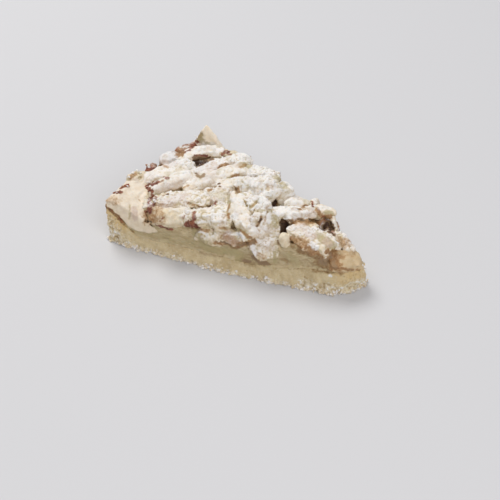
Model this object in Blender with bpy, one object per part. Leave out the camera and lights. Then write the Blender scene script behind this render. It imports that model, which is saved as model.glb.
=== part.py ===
"""One slice of apple tart: a shortcrust base with its rim, a baked apple filling and a heap of apple.

Sizes here are in millimetres, and MM turns them into Blender's metres. The slice points along +X, its rim
lies at -X, and the long cut side that faces -Y is called the front. The last step puts the origin under the
middle of the slice.
"""

import math

import bmesh
import bpy
from mathutils import Matrix, Vector, noise
from mathutils.geometry import delaunay_2d_cdt

MM = 0.001

# The whole tart, and where its middle lies from the slice
TART_RADIUS = 140.0
TART_MIDDLE = Vector((68.5, -18.0))

# The four corners of the slice, seen from above
RIM_FRONT = Vector((-70.4, -35.5))
RIM_BACK = Vector((-58.5, 41.0))
NOSE_FRONT = Vector((54.5, -7.0))
NOSE_BACK = Vector((66.2, 10.8))
NOSE_BULGE = 3.2

# The shortcrust
BASE_THICK = 6.6
NOSE_BASE_THICK = 13.0
NOSE_BASE_START = 15.0
NOSE_BASE_END = 45.0
WALL_HIGH = 24.5
WALL_TOP_WIDE = 2.5
WALL_FOOT = 16.0
FRONT_FLARE = 3.2
BACK_FLARE = 1.6
CRUMB_DEEP = 0.8
CRUST_STEP = 2.7

# The filling, and the gap that parts one piece from the next
FILLING_INSET = 1.2
FILLING_RIM_INSET = 3.5
FILLING_FOOT = 4.0
FILLING_EDGE_LEFT = 19.0
FILLING_EDGE_RIGHT = 25.5
FILLING_EDGE_BACK = 24.0
FILLING_NOSE = 14.5
FILLING_STEP = 5.0
FILLING_GRID = 9.0
GAP = 0.32
FLAT_ENOUGH = math.radians(1.5)
SAME_POINT = 0.03

# The broad slice on the rim: how far it reaches back from the front, and its section as distance in from
# the tart's edge and height
RIM_SLICE_STATIONS = (0, 5, 12, 20, 29, 36)
RIM_SLICE_SHRINK = (1.0, 1.0, 1.0, 1.0, 0.97, 0.75)
RIM_SLICE_TOP = ((0, 27.5), (4.5, 28.5), (11, 26), (19, 21.5), (26.5, 17), (30, 14.5))
RIM_SLICE_UNDER = ((25, 12.5), (18, 11.5), (13, 13.5), (8, 18.5), (3.5, 23.5), (0.5, 24.5))

# The tip of the upright slice at the rim's back end, and its foot
FIN_APEX = Vector((-54, 38, 41.5))
FIN_FOOT = ((-63.6, 32.7), (-53, 33.5), (-41, 37), (-41, 41), (-52.5, 41), (-60.5, 38.5))
FIN_LEVELS = (23.5, 30, 36)

# Colours: crust, filling, sugared apple and browned apple
CRUST_COLOUR = (0.44, 0.33, 0.19)
FILLING_COLOUR = (0.33, 0.25, 0.14)
APPLE_COLOUR = (0.66, 0.60, 0.50)
BROWN_COLOUR = (0.36, 0.20, 0.12)

# How a lump, a curved slice and a chunk are shaped. square is the section's exponent (2 round, 4 boxy) and
# blunt is the same for the ends. wedge thins one long edge. crag is how deep the dents are, as a share of the
# thickness
LUMP = dict(square=2.1, blunt=2.2, crag=0.36, rings=6)
SLICE = dict(square=2.4, blunt=3.0, crag=0.24, wedge=0.25)
ROUND = dict(square=2.0, blunt=3.0, crag=0.20)
CHUNK = dict(square=3.2, blunt=3.8, crag=0.28)

# Each piece of the heap: name, its two ends, width, height, finish, and what shapes it. They come from the
# top of the heap down, and each is cut to fit the ones before it
HEAP = (
    ("lump_middle", (0, 8, 38), (8, 11, 38), 13, 11, "apple", LUMP),
    ("lump_front", (6, -4, 35), (9, -0.5, 35.5), 13, 12, "apple", LUMP),
    ("lump_left", (-11, 7, 35), (-3, 9, 36), 11, 10, "apple", LUMP),
    ("lump_low", (-3, -2, 33), (1, 4, 34), 10, 9, "apple", LUMP),
    ("plate_right", (7, 13, 35), (10, 20, 33), 12, 8, "apple", CHUNK),
    ("lump_back_left", (-14, 22, 32), (-9, 27, 33), 10, 9, "apple", LUMP),
    ("lump_back_right", (-6, 22, 33), (1, 26, 34), 10, 8, "apple", LUMP),
    ("slab_middle", (-8, -1, 33), (10, -15, 27), 12, 9, "apple", dict(CHUNK, roll=-15)),
    ("slab_upright", (-17, -2, 32), (-6.5, -17, 26), 11, 9, "apple", CHUNK),
    ("hanging_slab", (12, -5, 33), (21, -14, 16.5), 18, 8, "apple", dict(CHUNK, taper=0.85)),
    ("finger_long", (-40, -2, 28), (-25, 15, 31), 12, 9, "apple", SLICE),
    ("finger_end", (-26, 14, 32), (-19, 22, 33), 10, 7, "apple", SLICE),
    ("back_mass", (-32, 22, 31), (-20, 26, 32), 12, 8, "apple", LUMP),
    ("back_edge_right", (-29, 31, 32), (-21, 29, 33), 9, 8, "apple", LUMP),
    ("back_edge_left", (-41, 32, 29), (-31, 34, 30), 8, 7, "brown", LUMP),
    ("small_bridge", (-23, 5, 31), (-12, 12, 32), 10, 8, "apple", SLICE),
    ("tube_slice", (18, 9, 34), (26, 16, 33), 6, 6, "apple", ROUND),
    ("tube_end", (26, 16, 32), (29, 20, 31), 6, 7, "apple", LUMP),
    ("sugared_mass", (17, 2, 31), (27, 8, 32), 11, 9, "apple", LUMP),
    ("edge_wedge", (10, 14, 31), (20, 18, 28), 9, 7, "apple", SLICE),
    ("seed_piece", (41, 16, 30), (45, 13, 26), 4, 4, "apple", ROUND),
    ("edge_blob", (34, 15, 32), (40, 18, 31), 8, 7, "apple", LUMP),
    ("edge_chunk", (27, 10, 31), (34, 15, 31), 9, 8, "brown", LUMP),
    ("hollow_chunk", (36, 14, 24), (44, 13, 23), 8, 9, "brown", CHUNK),
    ("long_slab", (28, 0, 28), (49, 0, 23), 18, 8, "apple", CHUNK),
    ("small_chunk", (27, -10, 26), (28.2, -8.9, 26.3), 5.5, 6.5, "apple", CHUNK),
    ("nose_bed", (41, 7, 24), (52, 6.5, 22), 11, 7, "apple", LUMP),
    ("nose_crescent", (50, 12, 22), (57, 9, 20), 6, 7, "apple", SLICE),
    ("nose_slice", (53, -3, 18.6), (62.6, 7.6, 16.6), 12.5, 5.5, "apple", dict(CHUNK, taper=0.9, roll=22)),
    ("crusted_chunk", (-26, -20, 25), (-13, -14, 27), 11, 10, "apple", dict(CHUNK, crag=0.36)),
    ("front_slice", (-46, -20, 27), (-22, -4, 29), 12, 9, "apple", SLICE),
    ("olive_patch", (-24, -3, 30), (-14, 1, 31), 11, 8, "apple", LUMP),
    ("browned_chunk", (-44, -28, 24), (-29, -20, 24), 11, 9, "brown", CHUNK),
    ("finger", (-55, -14, 27), (-42, 6, 30), 11, 9, "apple", ROUND),
    ("back_strip", (-64, -7, 27), (-47, 13, 29), 10, 8, "apple", SLICE),
    ("strip_lump", (-55, 9, 31), (-47, 13, 31), 7, 6, "apple", LUMP),
    ("pale_slice", (-43, 9, 28), (-34, 24, 31), 11, 8, "apple", SLICE),
    ("arch_slice", (-56, 17, 28), (-41, 33, 29), 9, 8, "apple", dict(SLICE, bow=3.0)),
    ("rim_ball", (-66, 12, 27), (-61, 17, 27), 10, 9, "apple", dict(LUMP, crag=0.2)),
    ("rim_cube_back", (-63, 23, 26), (-61, 28, 26), 8, 8, "brown", dict(CHUNK, rings=5)),
    ("rim_crumb", (-62, 29, 26), (-60, 33, 27), 5, 5, "brown", dict(CHUNK, rings=5)),
    ("rim_cube_front", (-69, 2, 26), (-67, 4, 26), 6, 6, "brown", dict(CHUNK, rings=5)),
    ("rim_bump", (-70, -13, 28), (-67, -5, 28), 7, 6, "brown", LUMP),
    ("low_chunk_left", (-18, -21, 18), (-8, -19, 18), 7, 8, "apple", dict(CHUNK, crag=0.36)),
    ("low_chunk_right", (-6, -18, 20), (7, -14, 21), 7, 8, "brown", dict(CHUNK, crag=0.36)),
    ("back_chunk_left", (-34, 33, 22), (-24, 31, 22), 7, 8, "apple", dict(CHUNK, crag=0.36)),
    ("back_chunk_right", (4, 25, 21), (15, 22, 21), 7, 8, "apple", dict(CHUNK, crag=0.36)),
)
# These reach down into the filling, which is cut round them. The rest lie on it
SUNK = ("hanging_slab", "low_chunk_left", "low_chunk_right", "back_chunk_left", "back_chunk_right",
        "nose_slice")

# Hollows that show between the pieces: place, depth and radius
HOLLOWS = (((24, -1), 8, 4), ((40, 8), 8, 5), ((-47, 20), 7, 6), ((26, 4), 4, 4), ((-16, 13), 3, 4),
           ((11, 6), 6, 4))


def smooth(low, high, value):
    """0 below low, 1 above high, and a soft step between them."""
    t = min(1.0, max(0.0, (value - low) / (high - low)))
    return t * t * (3 - 2 * t)


def rough(point, size, seed):
    """Repeatable noise from -1 to 1 with lumps of the given size."""
    return noise.noise(Vector(point) / size + Vector((seed * 7.31, seed * 3.17, seed * 5.73)))


def material(name, colour, roughness):
    """A plain Principled finish."""
    made = bpy.data.materials.new(name)
    made.use_nodes = True
    shader = made.node_tree.nodes["Principled BSDF"]
    shader.inputs["Base Color"].default_value = (*colour, 1.0)
    shader.inputs["Roughness"].default_value = roughness
    shader.inputs["Metallic"].default_value = 0.0
    return made


def add_object(name, shape, finish):
    """Turns a bmesh in millimetres into a named object, with its faces pointing outwards."""
    bmesh.ops.recalc_face_normals(shape, faces=shape.faces)
    if shape.calc_volume(signed=True) < 0:
        bmesh.ops.reverse_faces(shape, faces=shape.faces)
    bmesh.ops.triangulate(shape, faces=shape.faces)
    bmesh.ops.scale(shape, vec=(MM, MM, MM), verts=shape.verts)
    mesh = bpy.data.meshes.new(name)
    shape.to_mesh(mesh)
    shape.free()
    mesh.shade_smooth()
    mesh.set_sharp_from_angle(angle=math.radians(50))
    mesh.materials.append(finish)
    made = bpy.data.objects.new(name, mesh)
    bpy.context.scene.collection.objects.link(made)
    return made


def from_rim(x, y):
    """Distance inwards from the tart's outer edge."""
    return TART_RADIUS - (Vector((x, y)) - TART_MIDDLE).length


def left_of(x, y, start, end):
    """Distance of a point to the left of the line from start to end."""
    along = (end - start).normalized()
    return along.x * (y - start.y) - along.y * (x - start.x)


def from_side(x, y):
    """Distance inwards from the nearer long cut side."""
    return min(left_of(x, y, RIM_FRONT, NOSE_FRONT), left_of(x, y, NOSE_BACK, RIM_BACK))


def slice_outline(step):
    """The slice seen from above, anticlockwise: point, outward direction, side and share along it."""
    places = []

    def straight(start, end, side, bulge=0.0):
        across = end - start
        outwards = Vector((across.y, -across.x)).normalized()
        count = round((across.length + 2 * bulge) / step)
        for i in range(count):
            t = i / count
            places.append((start + across * t + outwards * bulge * math.sin(math.pi * t), side, t))

    straight(RIM_FRONT, NOSE_FRONT, "front")
    straight(NOSE_FRONT, NOSE_BACK, "nose", NOSE_BULGE)
    straight(NOSE_BACK, RIM_BACK, "back")
    first = math.atan2(*(RIM_BACK - TART_MIDDLE).yx)
    last = math.atan2(*(RIM_FRONT - TART_MIDDLE).yx) + 2 * math.pi
    count = round((last - first) * TART_RADIUS / step)
    for i in range(count):
        angle = first + (last - first) * i / count
        place = TART_MIDDLE + Vector((math.cos(angle), math.sin(angle))) * TART_RADIUS
        places.append((place, "rim", i / count))
    outline = []
    for i, (place, side, share) in enumerate(places):
        along = (places[(i + 1) % len(places)][0] - places[i - 1][0]).normalized()
        outline.append((place, Vector((along.y, -along.x)), side, share))
    return outline


def inner_points(spacing, inset):
    """Points over the slice on arcs about the tart's middle, closer together up the rim's wall."""
    points = []
    away = inset
    while away < TART_RADIUS:
        radius = TART_RADIUS - away
        angle = math.pi * 0.7
        while angle < math.pi * 1.25:
            place = TART_MIDDLE + Vector((math.cos(angle), math.sin(angle))) * radius
            if from_side(*place) > inset and place.x < NOSE_FRONT.x + 4:
                points.append(place)
            angle += spacing / radius
        away += spacing if away > WALL_FOOT else WALL_FOOT / 3
    return points


def crust_top(x, y):
    """Height of the crust: an even base, thicker at the nose, that climbs to the rim's wall."""
    base = BASE_THICK + (NOSE_BASE_THICK - BASE_THICK) * smooth(NOSE_BASE_START, NOSE_BASE_END, x)
    climb = 1 - min(1.0, max(0.0, (from_rim(x, y) - WALL_TOP_WIDE) / (WALL_FOOT - WALL_TOP_WIDE)))
    return base + (WALL_HIGH - base) * climb**1.15 + 0.6 * rough((x, y, 0), 7, 3) * climb


def filling_top(x, y):
    """Height of the filling: it rises under the pieces that lie on it and falls towards the cut sides."""
    total = 0.0
    height = 0.0
    for name, start, end, wide, high, finish, shaping in HEAP:
        if name in SUNK:
            continue
        start, end = Vector(start), Vector(end)
        run = end.xy - start.xy
        share = min(1.0, max(0.0, (Vector((x, y)) - start.xy).dot(run) / run.length_squared))
        spot = start.lerp(end, share)
        weight = 1 / ((Vector((x, y)) - spot.xy).length_squared + 6) ** 1.5
        total += weight
        height += weight * (spot.z - 0.28 * high)
    height /= total
    for place, depth, radius in HOLLOWS:
        height -= depth * math.exp(-(Vector((x, y)) - Vector(place)).length_squared / radius**2)
    edge = FILLING_EDGE_LEFT + (FILLING_EDGE_RIGHT - FILLING_EDGE_LEFT) * smooth(20, 34, x)
    edge = max(edge, FILLING_EDGE_BACK * smooth(0, 12, left_of(x, y, RIM_FRONT, NOSE_FRONT)))
    height = min(height, edge + (height - edge) * smooth(0, 9, from_side(x, y)))
    height = min(height, WALL_HIGH - 2 + 0.8 * max(0.0, from_rim(x, y) - FILLING_RIM_INSET))
    height += (FILLING_NOSE - height) * smooth(46, 58, x)
    return height + 0.6 * rough((x, y, 0), 6, 11)


def layer(name, rings, inner, top_of, finish):
    """A solid between stacked rings of points, closed by a level bottom and a top that follows top_of."""
    shape = bmesh.new()
    levels = [[shape.verts.new(p) for p in ring] for ring in rings]
    count = len(rings[0])
    for low, high in zip(levels, levels[1:]):
        for i in range(count):
            j = (i + 1) % count
            shape.faces.new((low[i], low[j], high[j], high[i]))
    shape.faces.new(levels[0][::-1])
    flat = [Vector(p[:2]) for p in rings[-1]] + list(inner)
    places, edges, faces, *rest = delaunay_2d_cdt(flat, [], [list(range(count))], 1, 1e-5)
    top = levels[-1] + [shape.verts.new((x, y, top_of(x, y))) for x, y in places[count:]]
    for face in faces:
        shape.faces.new([top[i] for i in face])
    return add_object(name, shape, finish)


def build_crust(finish):
    """The base and rim in one piece, with a ragged, crumbling edge."""
    outline = slice_outline(CRUST_STEP)
    flares = {"front": FRONT_FLARE, "back": BACK_FLARE, "nose": 1.0, "rim": 0.0}
    rings = []
    for level in (0.0, 0.3, 0.68, 1.0):
        ring = []
        for i, (place, out, side, share) in enumerate(outline):
            flare = flares[side]
            if side in ("front", "back"):
                flare *= math.sin(math.pi * share) ** 0.6
            away = flare * (1 - level) ** 1.5
            crag = CRUMB_DEEP * (1.25 - 0.75 * level)
            step = i * CRUST_STEP
            away += crag * (rough((step, level * 9, 0), 3.2, 5) + rough((step, level * 9, 4), 1.7, 6))
            spot = place + out * away
            ring.append((spot.x, spot.y, crust_top(*place) * level))
        rings.append(ring)
    return layer("crust", rings, inner_points(12.0, 2.4), crust_top, finish)


def build_filling(finish):
    """The apple filling that runs through the slice and shows at both cut sides."""
    rings = []
    for level in (0.0, 0.45, 0.75, 1.0):
        ring = []
        for i, (place, out, side, share) in enumerate(slice_outline(FILLING_STEP)):
            inset = FILLING_RIM_INSET if side == "rim" else FILLING_INSET
            inset += 0.8 * smooth(0.75, 1.0, level)
            inset -= 0.7 * rough((i * 3, level * 6, 0), 5, 21)
            spot = place - out * inset
            ring.append((spot.x, spot.y, FILLING_FOOT + (filling_top(*spot) - FILLING_FOOT) * level))
        rings.append(ring)
    return layer("filling", rings, inner_points(FILLING_GRID, 5.0), filling_top, finish)


def build_piece(name, start, end, wide, high, finish, seed, square, blunt, crag, bow=0.0, roll=0.0,
                wedge=0.0, taper=1.0, rings=8, sides=8):
    """A piece of apple: a sphere pressed into a bar between two points, dented, and bowed up by bow."""
    start, end = Vector(start), Vector(end)
    half = (end - start).length / 2 + 0.32 * min(wide, high)
    shape = bmesh.new()
    bmesh.ops.create_uvsphere(shape, u_segments=sides, v_segments=rings, radius=1.0)
    for vertex in shape.verts:
        along = vertex.co.z
        reach = math.hypot(vertex.co.x, vertex.co.y)
        across, rise = (vertex.co.x / reach, vertex.co.y / reach) if reach > 1e-4 else (0.0, 0.0)
        size = (1 - abs(along) ** blunt) ** (1 / blunt) * (1 + (taper - 1) * (along + 1) / 2)
        thin = 1 - wedge * 0.5 * (1 - across)
        across = math.copysign(abs(across) ** (2 / square), across) * wide / 2 * size
        rise = math.copysign(abs(rise) ** (2 / square), rise) * high / 2 * size * thin
        place = Vector((along * half, across, rise))
        dent = 1 + 2 * crag * rough(place, 0.5 * min(wide, high), seed)
        vertex.co = (place.x * (0.6 + 0.4 * dent), across * dent, rise * dent + bow * (1 - along * along))
    made = add_object(name, shape, finish)
    made.location = (start + end) / 2 * MM
    made.rotation_mode = "QUATERNION"
    turn = (end - start).to_track_quat("X", "Z")
    made.rotation_quaternion = turn @ Matrix.Rotation(math.radians(roll), 3, "X").to_quaternion()
    return made


def build_rim_slice(finish):
    """The broad slice that leans on the inside of the rim at the front corner, cut flush with the front."""
    shape = bmesh.new()
    begin = math.atan2(*(RIM_FRONT - TART_MIDDLE).yx)
    rows = []
    for far, share in zip(RIM_SLICE_STATIONS, RIM_SLICE_SHRINK):
        row = []
        for inwards, high in RIM_SLICE_TOP + RIM_SLICE_UNDER:
            radius = TART_RADIUS - (8 + (inwards - 8) * share)
            angle = begin - far / TART_RADIUS
            place = TART_MIDDLE + Vector((math.cos(angle), math.sin(angle))) * radius
            level = 22 + (high - 22) * share
            if far:
                level += 0.8 * rough((far, inwards, 0), 8, 31)
            else:
                inside = left_of(*place, RIM_FRONT, NOSE_FRONT)
                along = (NOSE_FRONT - RIM_FRONT).normalized()
                place += Vector((along.y, -along.x)) * inside
            row.append(shape.verts.new((place.x, place.y, level)))
        rows.append(row)
    for one, other in zip(rows, rows[1:]):
        for i in range(len(one)):
            j = (i + 1) % len(one)
            shape.faces.new((one[i], one[j], other[j], other[i]))
    shape.faces.new(rows[0])
    shape.faces.new(rows[-1][::-1])
    return add_object("rim_slice", shape, finish)


def build_fin(finish):
    """The upright corner of a slice that stands at the back end of the rim."""
    shape = bmesh.new()
    rows = []
    for level in FIN_LEVELS:
        t = (level - FIN_LEVELS[0]) / (FIN_APEX.z - FIN_LEVELS[0])
        row = []
        for k, (x, y) in enumerate(FIN_FOOT):
            across = FIN_APEX.x + (x - FIN_APEX.x) * (1 - 0.95 * t)
            deep = FIN_APEX.y + (y - FIN_APEX.y) * (1 - 0.8 * t)
            row.append(shape.verts.new((across, deep, level + 0.5 * (k % 2))))
        rows.append(row)
    tip = shape.verts.new(FIN_APEX)
    count = len(FIN_FOOT)
    for one, other in zip(rows, rows[1:]):
        for i in range(count):
            j = (i + 1) % count
            shape.faces.new((one[i], one[j], other[j], other[i]))
    for i in range(count):
        shape.faces.new((rows[-1][i], rows[-1][(i + 1) % count], tip))
    shape.faces.new(rows[0][::-1])
    return add_object("rim_fin", shape, finish)


def corners(thing):
    """Lowest and highest corners of an object, in the world."""
    places = [thing.matrix_world @ v.co for v in thing.data.vertices]
    low = Vector([min(p[i] for p in places) for i in range(3)])
    high = Vector([max(p[i] for p in places) for i in range(3)])
    return low, high


def near(one, other):
    """Whether two objects' boxes meet."""
    (low_a, high_a), (low_b, high_b) = corners(one), corners(other)
    margin = GAP * MM * 2
    return all(low_a[i] - margin < high_b[i] and low_b[i] - margin < high_a[i] for i in range(3))


def grown(source, by):
    """A cutter: a copy of an object with its surface moved outwards."""
    copy = source.copy()
    copy.data = source.data.copy()
    bpy.context.scene.collection.objects.link(copy)
    shape = bmesh.new()
    shape.from_mesh(copy.data)
    moves = [(vertex, vertex.normal * by * MM) for vertex in shape.verts]
    for vertex, move in moves:
        vertex.co += move
    shape.to_mesh(copy.data)
    shape.free()
    return copy


def keep_largest(mesh):
    """Drops the loose scraps that a cut leaves and joins its nearly level faces.

    True if the rest is one closed body.
    """
    shape = bmesh.new()
    shape.from_mesh(mesh)
    bmesh.ops.remove_doubles(shape, verts=shape.verts, dist=SAME_POINT * MM)
    left = set(shape.faces)
    islands = []
    while left:
        stack = [left.pop()]
        island = []
        while stack:
            face = stack.pop()
            island.append(face)
            beside = {other for edge in face.edges if edge.is_manifold for other in edge.link_faces}
            for other in beside & left:
                left.remove(other)
                stack.append(other)
        islands.append(island)
    islands.sort(key=lambda faces: -sum(face.calc_area() for face in faces))
    scraps = [face for island in islands[1:] for face in island]
    bmesh.ops.delete(shape, geom=scraps, context="FACES")
    bmesh.ops.dissolve_limit(shape, angle_limit=FLAT_ENOUGH, verts=shape.verts, edges=shape.edges)
    bmesh.ops.triangulate(shape, faces=shape.faces)
    closed = all(part.is_manifold for part in (*shape.edges, *shape.verts))
    shape.to_mesh(mesh)
    shape.free()
    return closed


def fit(target, neighbours):
    """Cuts an object back from its neighbours, leaving GAP between them.

    The exact solver loses some of these cuts. A cut that leaves two lobes meeting at an edge is made again
    with a slightly wider gap.
    """
    bpy.context.view_layer.update()
    whole = target.data
    close_by = [neighbour for neighbour in neighbours if near(target, neighbour)]
    for widen in (1.0, 1.1, 1.2, 1.3, 1.4, 0.9):
        target.data = whole
        cutters = [grown(neighbour, by) for neighbour in close_by for by in (GAP * widen, GAP / 3)]
        for cutter in cutters:
            change = target.modifiers.new("Fit", "BOOLEAN")
            change.operation = "DIFFERENCE"
            change.solver = "MANIFOLD"
            change.object = cutter
        seen = target.evaluated_get(bpy.context.evaluated_depsgraph_get())
        target.data = bpy.data.meshes.new_from_object(seen)
        target.modifiers.clear()
        for cutter in cutters:
            bpy.data.objects.remove(cutter)
        if keep_largest(target.data):
            return


def centre_on_origin(things):
    """Moves the slice so that the origin lies under the middle of its box."""
    bpy.context.view_layer.update()
    boxes = [corners(thing) for thing in things]
    low = Vector([min(box[0][i] for box in boxes) for i in range(3)])
    high = Vector([max(box[1][i] for box in boxes) for i in range(3)])
    for thing in things:
        thing.location -= Vector(((low.x + high.x) / 2, (low.y + high.y) / 2, low.z))


def main():
    for old in list(bpy.data.objects):
        bpy.data.objects.remove(old)
    finishes = {
        "crust": material("crust", CRUST_COLOUR, 0.85),
        "filling": material("filling", FILLING_COLOUR, 0.35),
        "apple": material("apple", APPLE_COLOUR, 0.7),
        "brown": material("browned_apple", BROWN_COLOUR, 0.6),
    }
    crust = build_crust(finishes["crust"])
    filling = build_filling(finishes["filling"])
    rim_slice = build_rim_slice(finishes["apple"])
    fin = build_fin(finishes["apple"])
    pieces = {}
    for seed, (name, start, end, wide, high, finish, shaping) in enumerate(HEAP):
        pieces[name] = build_piece(name, start, end, wide, high, finishes[finish], seed, **shaping)
    placed = []
    for piece in pieces.values():
        fit(piece, [crust, *placed])
        placed.append(piece)
    fit(fin, [crust, *placed])
    fit(rim_slice, [crust, *placed])
    fit(filling, [crust, rim_slice, *[pieces[name] for name in SUNK]])
    for thing in (fin, *placed):
        if thing.name not in SUNK:
            fit(thing, [filling])
    centre_on_origin([crust, filling, rim_slice, fin, *placed])


main()
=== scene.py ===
"""The looks of one cut slice of baked apple tart, dusted with icing sugar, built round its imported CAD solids.

Each solid is copied, cut into small voxels, softened and roughened, and given masks that say where it is
sugared, browned, tanned, greenish or shaded. Procedural materials turn the masks into colour. Lengths inside
the functions are in millimetres, and meshes are in metres. A call of bumps, layered or cells names the points,
the size of the bumps in millimetres, and the seed.
"""
import math
from itertools import product

import bmesh
import bpy
import numpy as np
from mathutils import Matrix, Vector
from mathutils.bvhtree import BVHTree
from mathutils.kdtree import KDTree


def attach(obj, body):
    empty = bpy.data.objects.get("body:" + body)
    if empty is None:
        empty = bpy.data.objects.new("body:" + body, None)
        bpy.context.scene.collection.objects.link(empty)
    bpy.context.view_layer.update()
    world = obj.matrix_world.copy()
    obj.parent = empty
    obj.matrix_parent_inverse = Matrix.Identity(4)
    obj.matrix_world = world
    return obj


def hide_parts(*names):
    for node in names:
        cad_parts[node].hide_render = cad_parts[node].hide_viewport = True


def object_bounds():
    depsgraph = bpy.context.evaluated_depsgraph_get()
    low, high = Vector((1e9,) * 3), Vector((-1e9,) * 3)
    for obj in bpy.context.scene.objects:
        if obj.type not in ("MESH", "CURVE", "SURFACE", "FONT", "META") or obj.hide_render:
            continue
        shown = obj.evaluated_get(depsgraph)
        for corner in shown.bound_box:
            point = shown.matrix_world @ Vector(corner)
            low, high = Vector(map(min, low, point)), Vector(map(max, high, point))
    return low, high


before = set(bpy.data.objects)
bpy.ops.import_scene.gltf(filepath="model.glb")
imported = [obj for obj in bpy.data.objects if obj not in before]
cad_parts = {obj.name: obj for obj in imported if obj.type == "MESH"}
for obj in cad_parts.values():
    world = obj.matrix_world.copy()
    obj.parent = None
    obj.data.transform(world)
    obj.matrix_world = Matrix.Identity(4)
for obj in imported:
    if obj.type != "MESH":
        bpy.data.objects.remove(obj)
CAD_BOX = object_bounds()
MM = 0.001

# The camera stands where the photographer's did.
AZIMUTH = math.radians(33.05)
ELEVATION = math.radians(40.1)
DISTANCE = 0.65
TARGET = Vector((0.0028, -0.0029, 0.0))
LENS = 85.1
SENSOR = 36.0
PICTURE = 500.0

VOXEL = 0.5
CRUST_VOXEL = 0.6
WELD = 1e-6

# Openness is worked out on a grid of SHADE_STEP, with rays of SHADE_REACH all round and, in metres, SKY_REACH
# upward. They start SHADE_LIFT off the surface. Pieces nearer than JOIN_REACH swell towards each other.
SHADE_STEP = 1.0
SHADE_REACH = 7.0
SHADE_LIFT = 0.6
GRAZING = 0.12
SKY_REACH = 0.03
JOIN_REACH = 1.9
JOIN_TOUCH = 0.3


def look_axes():
    """Unit vectors from the target to the camera, to the picture's right and to its top."""
    back = Vector((math.sin(AZIMUTH) * math.cos(ELEVATION),
                   -math.cos(AZIMUTH) * math.cos(ELEVATION),
                   math.sin(ELEVATION)))
    right = Vector((math.cos(AZIMUTH), math.sin(AZIMUTH), 0.0))
    return back, right, back.cross(right)


def put(name, data):
    """A new object in the scene."""
    made = bpy.data.objects.new(name, data)
    bpy.context.scene.collection.objects.link(made)
    return made


def make_camera():
    back = look_axes()[0]
    camera = put("camera", bpy.data.cameras.new("camera"))
    camera.location = TARGET + back * DISTANCE
    camera.rotation_euler = back.to_track_quat("Z", "Y").to_euler()
    camera.data.lens = LENS
    camera.data.sensor_width = SENSOR
    bpy.context.scene.camera = camera


# Smooth and cellular random numbers, worked out for many points at once

def scrambled(i, j, k, seed):
    """A whole number from 0 to 255 for each cell i, j, k."""
    n = (i * 73856093) ^ (j * 19349663) ^ (k * 83492791) ^ (seed * 40503 + 1013)
    n = (n ^ (n >> 13)) * 1274126177
    n = n & 0xFFFFFFFF
    n = (n ^ (n >> 15)) * 2246822519
    n = n & 0xFFFFFFFF
    return (n ^ (n >> 11)) & 0xFF


# Slopes and offsets for the cells, one for each number that scrambled can give
SLOPES = np.random.default_rng(11).normal(size=(256, 3))
SLOPES /= np.linalg.norm(SLOPES, axis=1)[:, None]
OFFSETS = np.random.default_rng(12).uniform(0.0, 1.0, (256, 3))
BUMP_GAIN = 1.9


def bumps(points, size, seed):
    """Smooth noise of about -1 to 1, with bumps about size millimetres across."""
    q = points / size + seed * 7.31
    base = np.floor(q).astype(np.int64)
    f = q - base
    fade = f * f * f * (f * (f * 6 - 15) + 10)
    total = np.zeros(len(points))
    for corner in product((0, 1), repeat=3):
        slope = SLOPES[scrambled(*(base + corner).T, seed)]
        share = np.where(corner, fade, 1 - fade).prod(1)
        total += share * (slope * (f - corner)).sum(1)
    return np.clip(total * BUMP_GAIN, -1, 1)


def layered(points, size, seed):
    """Bumps of two sizes, the second half as wide and half as high as the first."""
    return (bumps(points, size, seed) + 0.5 * bumps(points, size / 2, seed + 1)) / 1.5


def cells(points, size, seed):
    """Cells round scattered points: how far the nearest and the next point are, in cell sizes, and the cell's
    own random number from 0 to 1."""
    q = points / size
    base = np.floor(q).astype(np.int64)
    first = np.full(len(points), 9.0)
    second = first.copy()
    tone = np.zeros(len(points))
    for step in product((-1, 0, 1), repeat=3):
        cell = base + step
        drawn = scrambled(*cell.T, seed)
        away = ((cell + OFFSETS[drawn] - q) ** 2).sum(1)
        tone = np.where(away < first, drawn / 255, tone)
        second = np.minimum(second, np.maximum(first, away))
        first = np.minimum(first, away)
    return np.sqrt(first), np.sqrt(second), tone


def ramp(value, low, high):
    """0 below low, 1 above high, and a smooth step between."""
    t = np.clip((value - low) / (high - low), 0, 1)
    return t * t * (3 - 2 * t)


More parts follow.
